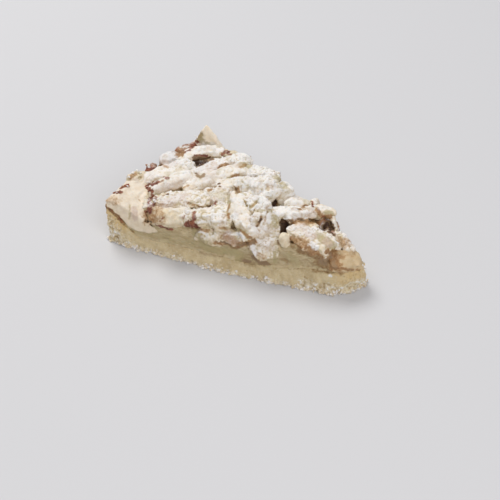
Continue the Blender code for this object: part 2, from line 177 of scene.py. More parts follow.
# Marks are strokes that the photograph's camera sees on the solids. Each is its half width in millimetres, its
# strength, and the x and y of each pixel that it passes. Red is browned skin. Tan is spots browned in baking,
# and in creases and under overhanging edges it is painted shade. Dark is painted shade in gaps and hollows.
# Olive and pink are apple that shows through thin sugar, and in the folds and on shaded sides they are painted
# shade as well. White is thick sugar and bare has none. Grooves and pits are dents, and a pit is painted dark
# with shade too. Crumbly and golden are for the crust.
MARKS = {"red": (
    (1.2, 0.9, 113, 193, 121, 192), (1.5, 0.8, 122, 188, 128, 186),
    (0.9, 0.55, 106, 206, 112, 211, 118, 217, 123, 222), (2.6, 0.9, 148, 169, 152, 170),
    (1.8, 0.9, 191, 147, 194, 145), (0.9, 0.8, 186, 152, 190, 150), (1.0, 0.8, 196, 141, 198, 142),
    (2.0, 1.0, 196, 158, 203, 157, 211, 159), (1.6, 0.7, 223, 154, 226, 152, 229, 154),
    (1.2, 1.0, 158, 182, 153, 184, 148, 186), (1.3, 1.0, 147, 187, 150, 190, 152, 191),
    (1.2, 0.7, 152, 195, 156, 198), (1.2, 0.8, 164, 178, 168, 178), (0.8, 0.6, 160, 182, 163, 181),
    (1.3, 1.0, 150, 199, 149, 204, 150, 209), (1.3, 1.0, 154, 200, 154, 207), (1.9, 1.0, 147, 209, 149, 211),
    (0.5, 0.9, 160, 221, 163, 218, 165, 216), (1.0, 0.9, 157, 226, 165, 227, 172, 229),
    (0.8, 0.9, 208, 206, 213, 205, 216, 202), (1.4, 0.8, 194, 213, 194, 219),
    (2.2, 1.0, 187, 225, 192, 224, 197, 226), (0.9, 0.6, 183, 218, 186, 214),
    (0.8, 0.5, 224, 244, 236, 247, 246, 244, 252, 241), (1.0, 0.5, 309, 220, 320, 220),
    (0.8, 0.9, 312, 202, 313, 206), (0.7, 0.8, 318, 210, 320, 213, 323, 216), (2.2, 0.7, 327, 226, 332, 233),
    (1.1, 0.65, 329, 253, 331, 256),
), "tan": (
    (3.2, 0.6, 110, 199, 115, 201), (1.6, 0.8, 130, 177, 135, 174),
    (1.4, 1.3, 106, 206, 112, 211, 118, 217, 124, 223), (1.2, 0.8, 124, 224, 129, 228, 133, 231),
    (0.5, 0.9, 139, 200, 140, 201), (0.5, 0.8, 113, 200, 114, 202), (1.0, 0.7, 160, 163, 164, 166, 168, 168),
    (3.4, 1.0, 178, 152, 181, 153), (2.2, 0.45, 201, 131, 199, 138), (1.2, 0.7, 232, 154, 236, 156),
    (1.0, 0.8, 180, 190, 184, 188, 188, 186), (1.2, 1.1, 209, 190, 214, 188, 219, 186),
    (1.7, 1.2, 220, 168, 222, 166, 225, 165), (1.0, 0.7, 241, 167, 245, 165), (1.2, 0.9, 233, 176, 238, 175),
    (2.0, 1.1, 234, 188, 238, 191), (3.6, 0.85, 149, 211, 149, 218, 154, 219),
    (4.0, 0.62, 157, 206, 158, 214, 160, 221), (0.8, 0.9, 190, 204, 197, 206, 203, 208),
    (1.2, 0.8, 196, 228, 202, 230, 208, 231), (1.0, 0.8, 220, 228, 228, 229),
    (0.9, 1.0, 240, 230, 244, 233, 248, 237, 254, 238), (1.0, 1.0, 229, 205, 228, 212, 229, 218),
    (3.0, 0.6, 222, 236, 229, 239, 236, 243), (1.9, 1.3, 240, 244, 248, 243, 254, 242),
    (1.6, 1.0, 216, 242, 226, 244, 236, 247, 246, 244, 254, 240),
    (0.7, 0.7, 244, 201, 247, 206, 251, 207, 256, 202), (0.9, 0.6, 267, 185, 268, 190),
    (0.8, 1.0, 257, 226, 260, 221, 261, 217), (0.6, 0.6, 265, 221, 266, 213),
    (2.2, 1.0, 294, 221, 300, 221, 306, 222, 312, 222, 318, 222),
    (1.1, 1.3, 293, 209, 299, 209, 303, 208, 305, 206), (1.5, 1.2, 317, 210, 320, 214, 324, 217, 330, 217),
    (1.6, 0.9, 291, 238, 294, 243, 293, 246), (3.0, 0.8, 296, 241, 306, 245, 312, 248),
    (1.5, 1.0, 299, 247, 307, 248, 313, 250, 319, 255), (1.8, 1.0, 328, 252, 330, 255, 332, 258),
    (1.8, 0.8, 333, 252, 338, 256, 342, 257), (2.8, 0.7, 338, 239, 341, 243, 346, 244),
    (3.2, 1.1, 320, 262, 328, 264, 336, 266), (3.2, 1.2, 332, 254, 333, 260, 335, 266),
    (3.0, 0.45, 338, 254, 345, 254, 352, 254), (1.8, 0.8, 338, 270, 342, 273),
    (1.5, 0.8, 314, 270, 322, 271, 332, 272), (2.6, 1.0, 300, 250, 312, 253, 320, 258),
    (1.0, 1.0, 341, 268, 350, 270, 359, 270), (1.4, 0.8, 243, 261, 250, 262),
    (1.8, 1.0, 255, 257, 260, 262, 268, 263), (1.6, 0.7, 258, 254, 264, 257),
    (2.2, 0.6, 244, 260, 248, 263, 254, 264), (1.4, 0.7, 283, 259, 287, 261),
    (0.7, 0.5, 283, 268, 292, 269, 302, 269), (3.5, 0.5, 306, 262, 312, 266), (4.0, 0.28, 352, 276, 360, 278),
    (2.0, 0.35, 341, 282, 350, 284), (0.9, 0.8, 116, 237, 118, 238), (0.7, 0.7, 305, 277, 307, 278),
), "dark": (
    (1.6, 0.8, 196, 159, 203, 158, 210, 159), (2.4, 1.0, 196, 161, 200, 164, 205, 162),
    (0.8, 0.9, 219, 184, 220, 187), (1.3, 0.55, 196, 175, 200, 177, 204, 175), (0.9, 0.5, 221, 167, 223, 166),
    (0.6, 0.9, 226, 164, 228, 164), (1.0, 0.75, 235, 188, 238, 191), (0.9, 0.7, 232, 228, 236, 229),
    (0.9, 0.5, 250, 238, 254, 239), (0.7, 0.8, 216, 241, 224, 242, 230, 245),
    (1.2, 0.45, 238, 245, 246, 244, 253, 242), (0.8, 0.6, 255, 210, 258, 212), (0.9, 0.4, 262, 212, 270, 212),
    (0.6, 0.8, 257, 226, 260, 221), (0.8, 1.0, 259, 222, 261, 219), (0.7, 0.8, 278, 241, 279, 245, 281, 245),
    (1.0, 0.8, 286, 221, 292, 221), (0.9, 0.8, 298, 219, 304, 221), (1.0, 0.8, 309, 220, 320, 220),
    (0.7, 0.5, 298, 209, 304, 208), (1.4, 0.9, 330, 232, 334, 235), (1.3, 0.5, 330, 254, 330, 257),
    (0.6, 0.6, 338, 242, 340, 243), (1.4, 0.4, 333, 262, 335, 267), (1.8, 0.62, 321, 261, 328, 262),
    (0.5, 0.5, 345, 269, 356, 270), (1.0, 0.3, 200, 252, 210, 255, 222, 257), (1.2, 0.6, 244, 260, 250, 261),
    (1.6, 0.55, 254, 257, 260, 262, 267, 263),
), "olive": (
    (1.2, 0.6, 133, 230, 140, 233, 147, 235, 153, 233), (0.8, 0.7, 130, 205, 130, 212, 129, 219),
    (2.9, 1.0, 201, 131, 199, 134, 200, 139), (0.9, 0.8, 206, 143, 209, 143), (1.8, 0.8, 201, 163, 204, 163),
    (2.0, 0.6, 209, 166, 216, 163), (2.0, 0.7, 197, 174, 203, 175), (2.2, 1.2, 241, 165, 246, 165, 249, 166),
    (1.2, 0.9, 226, 179, 231, 177), (1.1, 1.1, 239, 192, 246, 195), (3.0, 0.7, 217, 194, 226, 196, 227, 199),
    (1.2, 1.1, 233, 228, 240, 230, 244, 233, 248, 237), (1.2, 1.0, 229, 196, 229, 205, 228, 213, 228, 220),
    (2.4, 0.4, 232, 205, 236, 207), (2.6, 0.6, 231, 223, 235, 225), (2.5, 0.35, 202, 238, 210, 240),
    (1.2, 1.2, 244, 201, 247, 206, 251, 207, 256, 202), (1.1, 0.6, 266, 185, 268, 190),
    (1.0, 0.5, 255, 180, 261, 180), (1.0, 0.8, 255, 212, 263, 213, 271, 212),
    (1.4, 1.2, 257, 211, 263, 211, 270, 211), (1.8, 0.5, 279, 196, 287, 193), (3.4, 1.0, 277, 179, 283, 187),
    (2.6, 0.9, 275, 219, 276, 225), (2.0, 0.6, 308, 201, 307, 205), (2.0, 0.8, 327, 212, 331, 214),
    (3.2, 0.8, 318, 236, 326, 240, 333, 246), (1.6, 0.6, 303, 230, 308, 232), (1.6, 0.6, 335, 252, 341, 256),
    (1.5, 0.7, 342, 238, 347, 240), (3.0, 0.8, 196, 232, 206, 246, 222, 250),
    (4.5, 0.45, 160, 234, 175, 238, 192, 242), (2.8, 0.9, 226, 250, 238, 252, 240, 258),
    (1.3, 0.9, 274, 252, 275, 261), (3.0, 0.6, 290, 256, 298, 262),
), "pink": (
    (2.2, 0.7, 134, 209, 135, 218), (1.5, 0.3, 122, 208, 124, 212), (3.2, 0.8, 162, 163, 168, 165, 175, 162),
    (3.5, 0.75, 165, 203, 174, 199, 182, 196), (3.0, 0.6, 160, 188, 170, 186, 180, 182),
    (3.0, 0.5, 209, 178, 213, 184), (4.0, 0.8, 198, 170, 206, 168, 214, 167),
    (3.5, 0.6, 212, 164, 226, 162, 236, 165), (2.5, 0.5, 184, 181, 196, 178), (2.0, 0.3, 210, 184, 206, 186),
    (3.0, 0.9, 227, 236, 232, 242, 236, 243), (6.0, 0.5, 255, 222, 262, 232, 266, 244),
    (3.0, 0.6, 304, 212, 312, 214), (3.5, 0.5, 293, 196, 300, 198), (3.4, 0.7, 294, 227, 304, 226, 312, 236),
    (2.6, 0.6, 346, 238, 351, 243),
), "white": (
    (1.0, 0.9, 148, 165, 149, 166), (1.2, 0.8, 181, 147, 187, 147), (2.0, 0.6, 202, 143, 208, 145, 214, 145),
    (0.8, 0.9, 196, 137, 197, 138), (0.9, 1.0, 151, 203, 151, 204), (0.9, 1.0, 154, 200, 155, 201),
    (0.9, 1.0, 161, 200, 163, 200), (2.0, 1.0, 233, 216, 236, 217), (1.4, 1.0, 237, 234, 241, 234, 243, 237),
    (5.0, 0.5, 250, 190, 262, 196, 270, 200), (4.0, 0.7, 281, 208, 288, 213, 296, 213),
    (1.4, 1.0, 269, 215, 269, 221), (1.6, 0.9, 253, 247, 255, 253), (1.2, 0.45, 274, 248, 274, 253),
    (2.2, 0.75, 285, 201, 292, 202, 300, 202), (1.0, 0.8, 315, 200, 316, 205), (2.2, 0.6, 322, 208, 328, 208),
    (1.3, 0.6, 334, 221, 335, 227), (2.6, 0.5, 292, 227, 300, 232, 310, 230), (1.8, 1.0, 312, 244, 316, 247),
    (3.0, 0.3, 346, 261, 353, 261), (0.9, 1.0, 330, 276, 331, 276),
), "bare": (
    (3.5, 0.6, 205, 130, 204, 136), (4.0, 1.0, 150, 207, 151, 214, 157, 220, 160, 212),
    (4.5, 0.55, 165, 216, 172, 220), (2.0, 1.0, 294, 222, 306, 223, 318, 223),
    (3.2, 1.0, 296, 242, 308, 246, 316, 250), (3.0, 0.5, 322, 238, 333, 246), (1.8, 0.9, 338, 240, 342, 244),
), "groove": (
    (0.7, 0.45, 130, 205, 130, 212, 129, 219), (0.5, 0.5, 160, 221, 163, 218, 165, 216),
    (0.8, 0.6, 181, 201, 190, 204, 197, 206, 203, 208), (0.8, 0.6, 208, 206, 213, 205, 216, 202),
    (0.9, 0.6, 244, 200, 247, 206, 251, 208, 256, 203), (0.6, 0.6, 257, 226, 260, 221, 261, 217),
    (0.6, 0.5, 265, 219, 267, 213),
), "pit": (
    (1.6, 1.0, 197, 162, 198, 166), (2.0, 0.8, 198, 163, 205, 161), (0.8, 0.9, 163, 195, 168, 194),
    (1.1, 0.7, 234, 188, 236, 190, 238, 192), (0.9, 1.0, 146, 221, 151, 222, 153, 225, 157, 227),
    (1.9, 1.0, 276, 201, 275, 204, 273, 207), (2.6, 0.9, 283, 222, 283, 227, 283, 231),
    (1.8, 1.0, 286, 223, 286, 230), (2.2, 1.0, 323, 228, 328, 224, 331, 228),
), "crumbly": (
    (4.0, 1.0, 109, 219, 110, 227, 112, 236), (3.5, 0.8, 117, 228, 119, 238, 128, 244),
    (2.2, 0.8, 120, 243, 150, 252, 180, 259), (1.6, 0.6, 180, 260, 240, 275, 290, 284),
    (3.2, 1.0, 304, 284, 322, 288, 344, 289, 362, 283), (2.6, 0.8, 366, 268, 367, 280),
), "golden": (
    (3.2, 1.2, 106, 210, 111, 215, 116, 220, 121, 226),
)}
COLOURED = ("red", "tan", "dark", "olive", "pink", "white")
MARK_STEP = 1.3
MARK_CORE = 0.55
MARK_EDGE = 1.35
MARK_MARGIN = 8


def pixel_ray(x, y):
    """From where and which way the camera looks through a pixel, in metres."""
    back, right, top = look_axes()
    focus = LENS / SENSOR * PICTURE
    ray = -back + right * ((x - PICTURE / 2) / focus) - top * ((y - PICTURE / 2) / focus)
    return TARGET + back * DISTANCE, ray.normalized()


def tree_of(names):
    """CAD nodes in one tree, for rays and distances."""
    places = []
    corners = []
    for name in names:
        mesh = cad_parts[name].data
        base = len(places)
        places += [v.co for v in mesh.vertices]
        corners += [[base + i for i in f.vertices] for f in mesh.polygons]
    return BVHTree.FromPolygons(places, corners)


def put_marks(tree):
    """The marks as {kind: rows of place, half width and strength}, in millimetres."""
    placed = {}
    for kind, strokes in MARKS.items():
        rows = []
        for width, strength, *path in strokes:
            spots = list(zip(path[::2], path[1::2]))
            for a, b in zip(spots, spots[1:]):
                count = max(1, int(math.hypot(b[0] - a[0], b[1] - a[1]) / MARK_STEP))
                for n in range(count + 1):
                    x = a[0] + (b[0] - a[0]) * n / count
                    y = a[1] + (b[1] - a[1]) * n / count
                    hit = tree.ray_cast(*pixel_ray(x, y))[0]
                    if hit is not None:
                        rows.append((*(hit / MM), width, strength))
        placed[kind] = np.array(rows, float).reshape(-1, 5)
    return placed


def marked(points, rows):
    """How strongly one kind of mark covers each point, with an uneven edge."""
    total = np.zeros(len(points))
    near = ((rows[:, :3] > points.min(0) - MARK_MARGIN) & (rows[:, :3] < points.max(0) + MARK_MARGIN)).all(1)
    if near.any():
        ragged = 1 + 0.35 * bumps(points, 1.6, 5) + 0.2 * bumps(points, 0.8, 6)
        for x, y, z, width, strength in rows[near]:
            away = np.sqrt(((points - (x, y, z)) ** 2).sum(1)) * ragged / width
            total = np.maximum(total, strength * (1 - ramp(away, MARK_CORE, MARK_EDGE)))
    return total


def colour_marks(points, marks):
    """The marks of each kind in COLOURED at each point."""
    found = {kind: marked(points, marks[kind]) for kind in COLOURED}
    # A pit is painted dark as shade in its hollow.
    found["dark"] = np.maximum(found["dark"], marked(points, marks["pit"]))
    return found.values()


def voxelled(node, voxel, rounds):
    """A copy of a CAD node's mesh, cut into voxels and smoothed."""
    whole = bmesh.new()
    whole.from_mesh(node.data)
    bmesh.ops.remove_doubles(whole, verts=whole.verts, dist=WELD)
    mesh = bpy.data.meshes.new("raw")
    whole.to_mesh(mesh)
    whole.free()
    raw = put("raw", mesh)
    remesh = raw.modifiers.new("voxels", "REMESH")
    remesh.mode = "VOXEL"
    remesh.voxel_size = voxel * MM
    relax = raw.modifiers.new("relax", "SMOOTH")
    relax.iterations = rounds
    bpy.context.view_layer.update()
    result = bpy.data.meshes.new_from_object(raw.evaluated_get(bpy.context.evaluated_depsgraph_get()))
    bpy.data.objects.remove(raw)
    bpy.data.meshes.remove(mesh)
    return result


def fetch(items, key, width, kind=float):
    """One value of each item of a mesh, as rows."""
    data = np.zeros(len(items) * width, kind)
    items.foreach_get(key, data)
    return data.reshape(-1, width)


def read(mesh):
    """A mesh's points in millimetres, and its point normals."""
    return fetch(mesh.vertices, "co", 3) / MM, fetch(mesh.vertex_normals, "vector", 3)


def write(mesh, points):
    mesh.vertices.foreach_set("co", (points * MM).ravel())
    mesh.update()


def dome(count):
    """Directions spread evenly over a sphere."""
    n = np.arange(count) + 0.5
    high = 1 - 2 * n / count
    turn = math.pi * (1 + math.sqrt(5)) * n
    flat = np.sqrt(1 - high ** 2)
    return np.stack([flat * np.cos(turn), flat * np.sin(turn), high], 1)


ROUND = dome(30)
UPWARD = [Vector(d).normalized() for d in
          ((0, 0, 1), (0.3, 0, 1), (-0.3, 0, 1), (0, 0.3, 1), (0, -0.3, 1), (0.25, 0.25, 1), (-0.25, -0.25, 1))]


def shelter(tree, points, normals):
    """For each point, how open it is round about and how open upward, from 0 to 1."""
    cell = np.floor(points / SHADE_STEP).astype(np.int64)
    chosen = np.unique(cell, axis=0, return_index=True)[1]
    found = KDTree(len(chosen))
    values = np.zeros((len(chosen), 2))
    ways = [Vector(d) for d in ROUND]
    for n, v in enumerate(chosen):
        start = Vector(points[v] + normals[v] * SHADE_LIFT) * MM
        found.insert(start, n)
        facing = ROUND @ normals[v]
        free = 0.0
        total = 0.0
        for way, cosine in zip(ways, facing):
            if cosine > GRAZING:
                total += cosine
                hit = tree.ray_cast(start, way, SHADE_REACH * MM)
                free += cosine * (1.0 if hit[0] is None else 0.6 * (hit[3] / (SHADE_REACH * MM)) ** 1.5)
        values[n, 0] = free / total
        values[n, 1] = sum(tree.ray_cast(start, way, SKY_REACH)[0] is None for way in UPWARD) / len(UPWARD)
    found.balance()
    result = np.zeros((len(points), 2))
    for v, place in enumerate((points + normals * SHADE_LIFT) * MM):
        near = found.find_n(place, 3)
        weights = [1 / (d + 2e-4) for _, _, d in near]
        whole = sum(weights)
        result[v] = sum((values[i] * w for (_, i, _), w in zip(near, weights)), np.zeros(2)) / whole
    return result[:, 0], result[:, 1]


def closeness(name, points):
    """How close each point of a node is to the other nodes: 1 where they touch, 0 beyond JOIN_REACH."""
    tree = tree_of(other for other in sorted(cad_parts) if other != name and other not in CLEAR)
    away = np.full(len(points), JOIN_REACH)
    for n, place in enumerate(points * MM):
        found = tree.find_nearest(place, JOIN_REACH * MM)[3]
        if found is not None:
            away[n] = found / MM
    return 1 - ramp(away, JOIN_TOUCH, JOIN_REACH)


def folds(mesh, points, normals):
    """How sharply the surface folds in at each point, in one over millimetres. Ridges are below 0."""
    ends = fetch(mesh.edges, "vertices", 2, int)
    ends = np.concatenate([ends, ends[:, ::-1]])
    count = np.maximum(np.bincount(ends[:, 0], minlength=len(points)), 1)
    middle = np.stack([np.bincount(ends[:, 0], points[ends[:, 1], k], len(points)) for k in range(3)], 1)
    lift = ((middle / count[:, None] - points) * normals).sum(1) / VOXEL ** 2
    return 0.5 * lift + 0.5 * np.bincount(ends[:, 0], lift[ends[:, 1]], len(points)) / count


def colour_mask(mesh, name, *parts):
    """Stores up to three masks as one colour for each point."""
    data = np.ones((len(mesh.vertices), 4))
    for n, part in enumerate(parts):
        data[:, n] = np.clip(part, 0, 1)
    mesh.attributes.new(name, "FLOAT_COLOR", "POINT").data.foreach_set("color", data.ravel())


def colour_masks(mesh, red, tan, dark, olive, pink, sugar):
    # The first mask holds red, tan and dark: tan is partly painted shade, and dark is wholly painted shade. The
    # second holds olive, pink and sugar: olive and pink are partly painted shade, and the sugar is thinned and
    # thickened as painted light.
    colour_mask(mesh, "browning_and_painted_shade", red, tan, dark)
    colour_mask(mesh, "dusting_and_painted_light", olive, pink, sugar)


def add_piece(name, mesh, material, slot, *nodes):
    mesh.name = name
    mesh.materials.clear()
    mesh.materials.append(material)
    mesh.shade_smooth()
    piece = put(name, mesh)
    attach(piece, "root")
    if nodes:
        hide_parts(*nodes)
    return piece


# Materials

class Look:
    """A short way to write a material's nodes."""

    def __init__(self, name):
        self.material = bpy.data.materials.new(name)
        self.material.use_nodes = True
        self.tree = self.material.node_tree
        self.shader = self.tree.nodes["Principled BSDF"]
        self.place = self.tree.nodes.new("ShaderNodeTexCoord").outputs["Object"]

    def plug(self, socket, value):
        """Links a socket to another node's output, or sets its value."""
        if hasattr(value, "node"):
            self.tree.links.new(value, socket)
        else:
            socket.default_value = value

    def node(self, kind, values, **settings):
        made = self.tree.nodes.new(kind)
        for key, value in settings.items():
            setattr(made, key, value)
        for socket, value in values.items():
            self.plug(made.inputs[socket], value)
        return made

    def masks(self, name):
        """The three numbers of a stored mask."""
        stored = self.node("ShaderNodeAttribute", {}, attribute_name=name)
        split = self.node("ShaderNodeSeparateColor", {0: stored.outputs["Color"]})
        return tuple(split.outputs)

    def noise(self, size, detail=3.0, stretch=None, roughness=0.55):
        """Noise from 0 to 1, with lumps about size millimetres across."""
        place = self.place
        if stretch:
            place = self.node("ShaderNodeMapping", {0: place, "Scale": stretch}).outputs[0]
        return self.node("ShaderNodeTexNoise",
                         {"Vector": place, "Scale": 1 / (size * MM), "Detail": detail,
                          "Roughness": roughness}).outputs["Fac"]

    def sum(self, a, factor, b):
        """a times factor, plus b."""
        return self.node("ShaderNodeMath", {0: a, 1: factor, 2: b}, operation="MULTIPLY_ADD").outputs[0]

    def times(self, a, b):
        return self.sum(a, b, 0.0)

    def step(self, value, low, high, start=0.0, end=1.0):
        return self.node("ShaderNodeMapRange", {0: value, 1: low, 2: high, 3: start, 4: end},
                         interpolation_type="SMOOTHSTEP").outputs[0]

    def mix(self, share, a, b):
        """Colour a, or b where share is 1."""
        a, b = (colour if hasattr(colour, "node") else (*colour, 1.0) for colour in (a, b))
        return self.node("ShaderNodeMix", {0: share, 6: a, 7: b}, data_type="RGBA").outputs[2]

    def set(self, **values):
        """Sets or links the shader's own sockets."""
        for key, value in values.items():
            self.plug(self.shader.inputs[key.replace("_", " ")], value)

    def bump(self, height, depth, strength):
        made = self.node("ShaderNodeBump", {"Height": height, "Distance": depth * MM, "Strength": strength})
        self.set(Normal=made.outputs[0])


# Colours of the marks. SHADE and DARK are painted shade, and OLIVE and PINK are partly painted shade.
RED = (0.16, 0.045, 0.028)
EMBER = (0.3, 0.105, 0.055)
TAN = (0.385, 0.215, 0.09)
UMBER = (0.2, 0.1, 0.042)
CUT_TAN = (0.31, 0.2, 0.085)
DARK = (0.07, 0.033, 0.02)
SHADE = (0.3, 0.2, 0.11)
OLIVE = (0.43, 0.355, 0.18)
PINK = (0.56, 0.42, 0.33)
SUGAR = (0.86, 0.848, 0.83)

# The kinds of apple: its paler and deeper colour, and how rough it is where no sugar lies
APPLES = {
    "apple": ((0.79, 0.68, 0.505), (0.67, 0.545, 0.37), 0.5),
    "pale_apple": ((0.81, 0.7, 0.54), (0.73, 0.605, 0.435), 0.5),
    "tanned_apple": ((0.63, 0.495, 0.31), (0.54, 0.4, 0.225), 0.5),
    "golden_apple": ((0.78, 0.69, 0.52), (0.69, 0.56, 0.37), 0.5),
    # The next two are one apple painted as lit and as shaded: a lighter copy for the fin and a darker one for
    # the ball.
    "painted_light_apple": ((0.95, 0.84, 0.68), (0.88, 0.75, 0.57), 0.5),
    "shaded_apple": ((0.61, 0.575, 0.56), (0.5, 0.465, 0.45), 0.5),
    "browned_apple": ((0.4, 0.2, 0.1), (0.25, 0.1, 0.055), 0.3),
}

# The crust, the filling at the cut, the loose sugar and the crumbs
CRUST = (0.655, 0.535, 0.325)
CRUST_DEEP = (0.55, 0.43, 0.245)
CRUST_GOLDEN = (0.7, 0.5, 0.23)
CRUST_PALE = (0.77, 0.7, 0.54)
CRUST_DOT = (0.36, 0.22, 0.1)
APPLE_CUT = (0.53, 0.43, 0.26)
APPLE_CUT_DEEP = (0.42, 0.32, 0.17)
STREAK_PALE = (0.6, 0.5, 0.31)
STREAK_DEEP = (0.33, 0.235, 0.11)
SEAM = (0.33, 0.22, 0.1)
LOOSE_SUGAR = (0.88, 0.865, 0.83)
LOOSE_SUGAR_DULL = (0.8, 0.775, 0.725)
CRUMB = (0.72, 0.61, 0.43)
CRUMB_SUGARED = (0.84, 0.81, 0.78)
CRUMB_BROWNED = (0.5, 0.34, 0.17)


def marked_look(look, colour, sugar_grip, brown=TAN):
    """Puts the marks and the icing sugar over a base colour. Returns the colour and the sugar's mask."""
    red, tan, dark = look.masks("browning_and_painted_shade")
    olive, pink, sugar = look.masks("dusting_and_painted_light")
    fine = look.noise(0.7, roughness=0.65)
    wide = look.noise(2.6, 2.0)
    # Olive and pink are apple through thin sugar, and painted shade where their masks carry shade.
    colour = look.mix(look.step(look.sum(wide, 0.6, olive), 0.4, 1.3, 0.0, 0.9), colour, OLIVE)
    colour = look.mix(look.step(look.sum(wide, 0.6, pink), 0.4, 1.3), colour, PINK)
    speck = look.sum(look.noise(1.3, roughness=0.7), 1.6, -0.8)
    # Tan is browned spots, and painted shade where its mask carries shade.
    toast_and_shade = look.sum(speck, 0.9, tan)
    toast_and_shade_colour = look.mix(look.step(toast_and_shade, 0.75, 1.45), brown, UMBER)
    colour = look.mix(look.step(toast_and_shade, 0.15, 1.05), colour, toast_and_shade_colour)
    burnt = look.mix(look.step(wide, 0.42, 0.6), RED, EMBER)
    colour = look.mix(look.step(look.sum(speck, 0.9, red), 0.2, 0.8), colour, burnt)
    shown = look.step(look.sum(fine, sugar_grip, sugar), sugar_grip * 0.5 + 0.05, sugar_grip * 0.5 + 0.85)
    colour = look.mix(look.times(shown, 0.9), colour, SUGAR)
    # The dark mask, roughened by fine noise, paints shade: SHADE first, and DARK where it is deepest.
    deep = look.sum(fine, 0.5, dark)
    colour = look.mix(look.step(deep, 0.3, 0.85), colour, SHADE)
    colour = look.mix(look.step(deep, 0.8, 1.3), colour, DARK)
    return colour, shown, fine


def apple_look(name, pale, deep, rough):
    look = Look(name)
    colour = look.mix(look.step(look.noise(5.0), 0.35, 0.68), pale, deep)
    colour = look.mix(look.step(look.noise(0.55, 1.0), 0.66, 0.78, 0.0, 0.3), colour, TAN)
    colour, shown, fine = marked_look(look, colour, 0.75)
    look.set(Base_Color=colour, Roughness=look.step(shown, 0.0, 1.0, rough, 0.95), Subsurface_Weight=0.1,
             Subsurface_Scale=0.0008, Subsurface_Radius=(1.0, 0.75, 0.55), Specular_IOR_Level=0.35)
    look.bump(look.sum(look.times(look.noise(0.35, 2.0), shown), 0.7, fine), 0.16, 0.8)
    return look.material


def crust_look():
    look = Look("crust")
    meeting, crumbly, browned = look.masks("baking")
    patch = look.noise(7.0, 4.0)
    colour = look.mix(look.step(patch, 0.36, 0.66), CRUST, CRUST_DEEP)
    colour = look.mix(meeting, colour, look.mix(look.step(patch, 0.4, 0.6), APPLE_CUT, APPLE_CUT_DEEP))
    colour = look.mix(look.times(browned, 0.85), colour, CRUST_GOLDEN)
    specks = look.noise(1.1, 2.0, roughness=0.7)
    pale = look.times(look.step(look.sum(crumbly, 0.12, specks), 0.46, 0.74), look.sum(crumbly, 0.5, 0.3))
    colour = look.mix(pale, colour, CRUST_PALE)
    dots = look.noise(1.0, 2.0, (1.0, 1.0, 1.3))
    colour = look.mix(look.step(look.sum(crumbly, 0.05, dots), 0.62, 0.74, 0.0, 0.55), colour, CRUST_DOT)
    colour, _, fine = marked_look(look, colour, 0.9, CUT_TAN)
    look.set(Base_Color=colour, Roughness=0.85, Subsurface_Weight=0.06, Subsurface_Scale=0.001,
             Subsurface_Radius=(1.0, 0.6, 0.35), Specular_IOR_Level=0.25)
    look.bump(look.sum(look.noise(0.45), 0.8, fine), 0.22, 0.9)
    return look.material


def filling_look():
    look = Look("filling")
    meeting, tone, seam = look.masks("baking")
    streak = look.noise(6.5, 4.0, (1.0, 1.0, 3.6))
    colour = look.mix(look.step(look.sum(tone, -0.3, look.sum(streak, 1.0, 0.15)), 0.4, 0.61), APPLE_CUT,
                      APPLE_CUT_DEEP)
    thin = look.noise(2.4, stretch=(1.0, 1.0, 4.5))
    colour = look.mix(look.step(thin, 0.5, 0.66, 0.0, 0.75), colour, STREAK_PALE)
    colour = look.mix(look.step(thin, 0.32, 0.44, 0.65, 0.0), colour, STREAK_DEEP)
    colour = look.mix(look.times(seam, 0.45), colour, SEAM)
    colour = look.mix(meeting, colour, CRUST)
    colour, _, fine = marked_look(look, colour, 0.6, CUT_TAN)
    look.set(Base_Color=colour, Roughness=look.step(thin, 0.3, 0.7, 0.36, 0.6), Subsurface_Weight=0.2,
             Subsurface_Scale=0.0016, Subsurface_Radius=(1.0, 0.55, 0.28), Specular_IOR_Level=0.45)
    look.bump(look.sum(thin, 1.2, fine), 0.22, 0.6)
    return look.material


def sugar_look():
    look = Look("icing_sugar")
    colour = look.mix(look.step(look.noise(1.5, 2.0), 0.35, 0.65), LOOSE_SUGAR, LOOSE_SUGAR_DULL)
    look.set(Base_Color=colour, Roughness=0.95, Specular_IOR_Level=0.2, Subsurface_Weight=0.1,
             Subsurface_Scale=0.0004)
    look.bump(look.noise(0.25, 2.0), 0.06, 0.6)
    return look.material


def crumb_look():
    look = Look("crumbs")
    colour = look.mix(look.step(look.noise(1.9, 2.0), 0.42, 0.58), CRUMB, CRUMB_SUGARED)
    colour = look.mix(look.step(look.noise(2.3, 1.0), 0.6, 0.7, 0.0, 0.6), colour, CRUMB_BROWNED)
    look.set(Base_Color=colour, Roughness=0.9, Specular_IOR_Level=0.2)
    look.bump(look.noise(0.4), 0.12, 0.8)
    return look.material


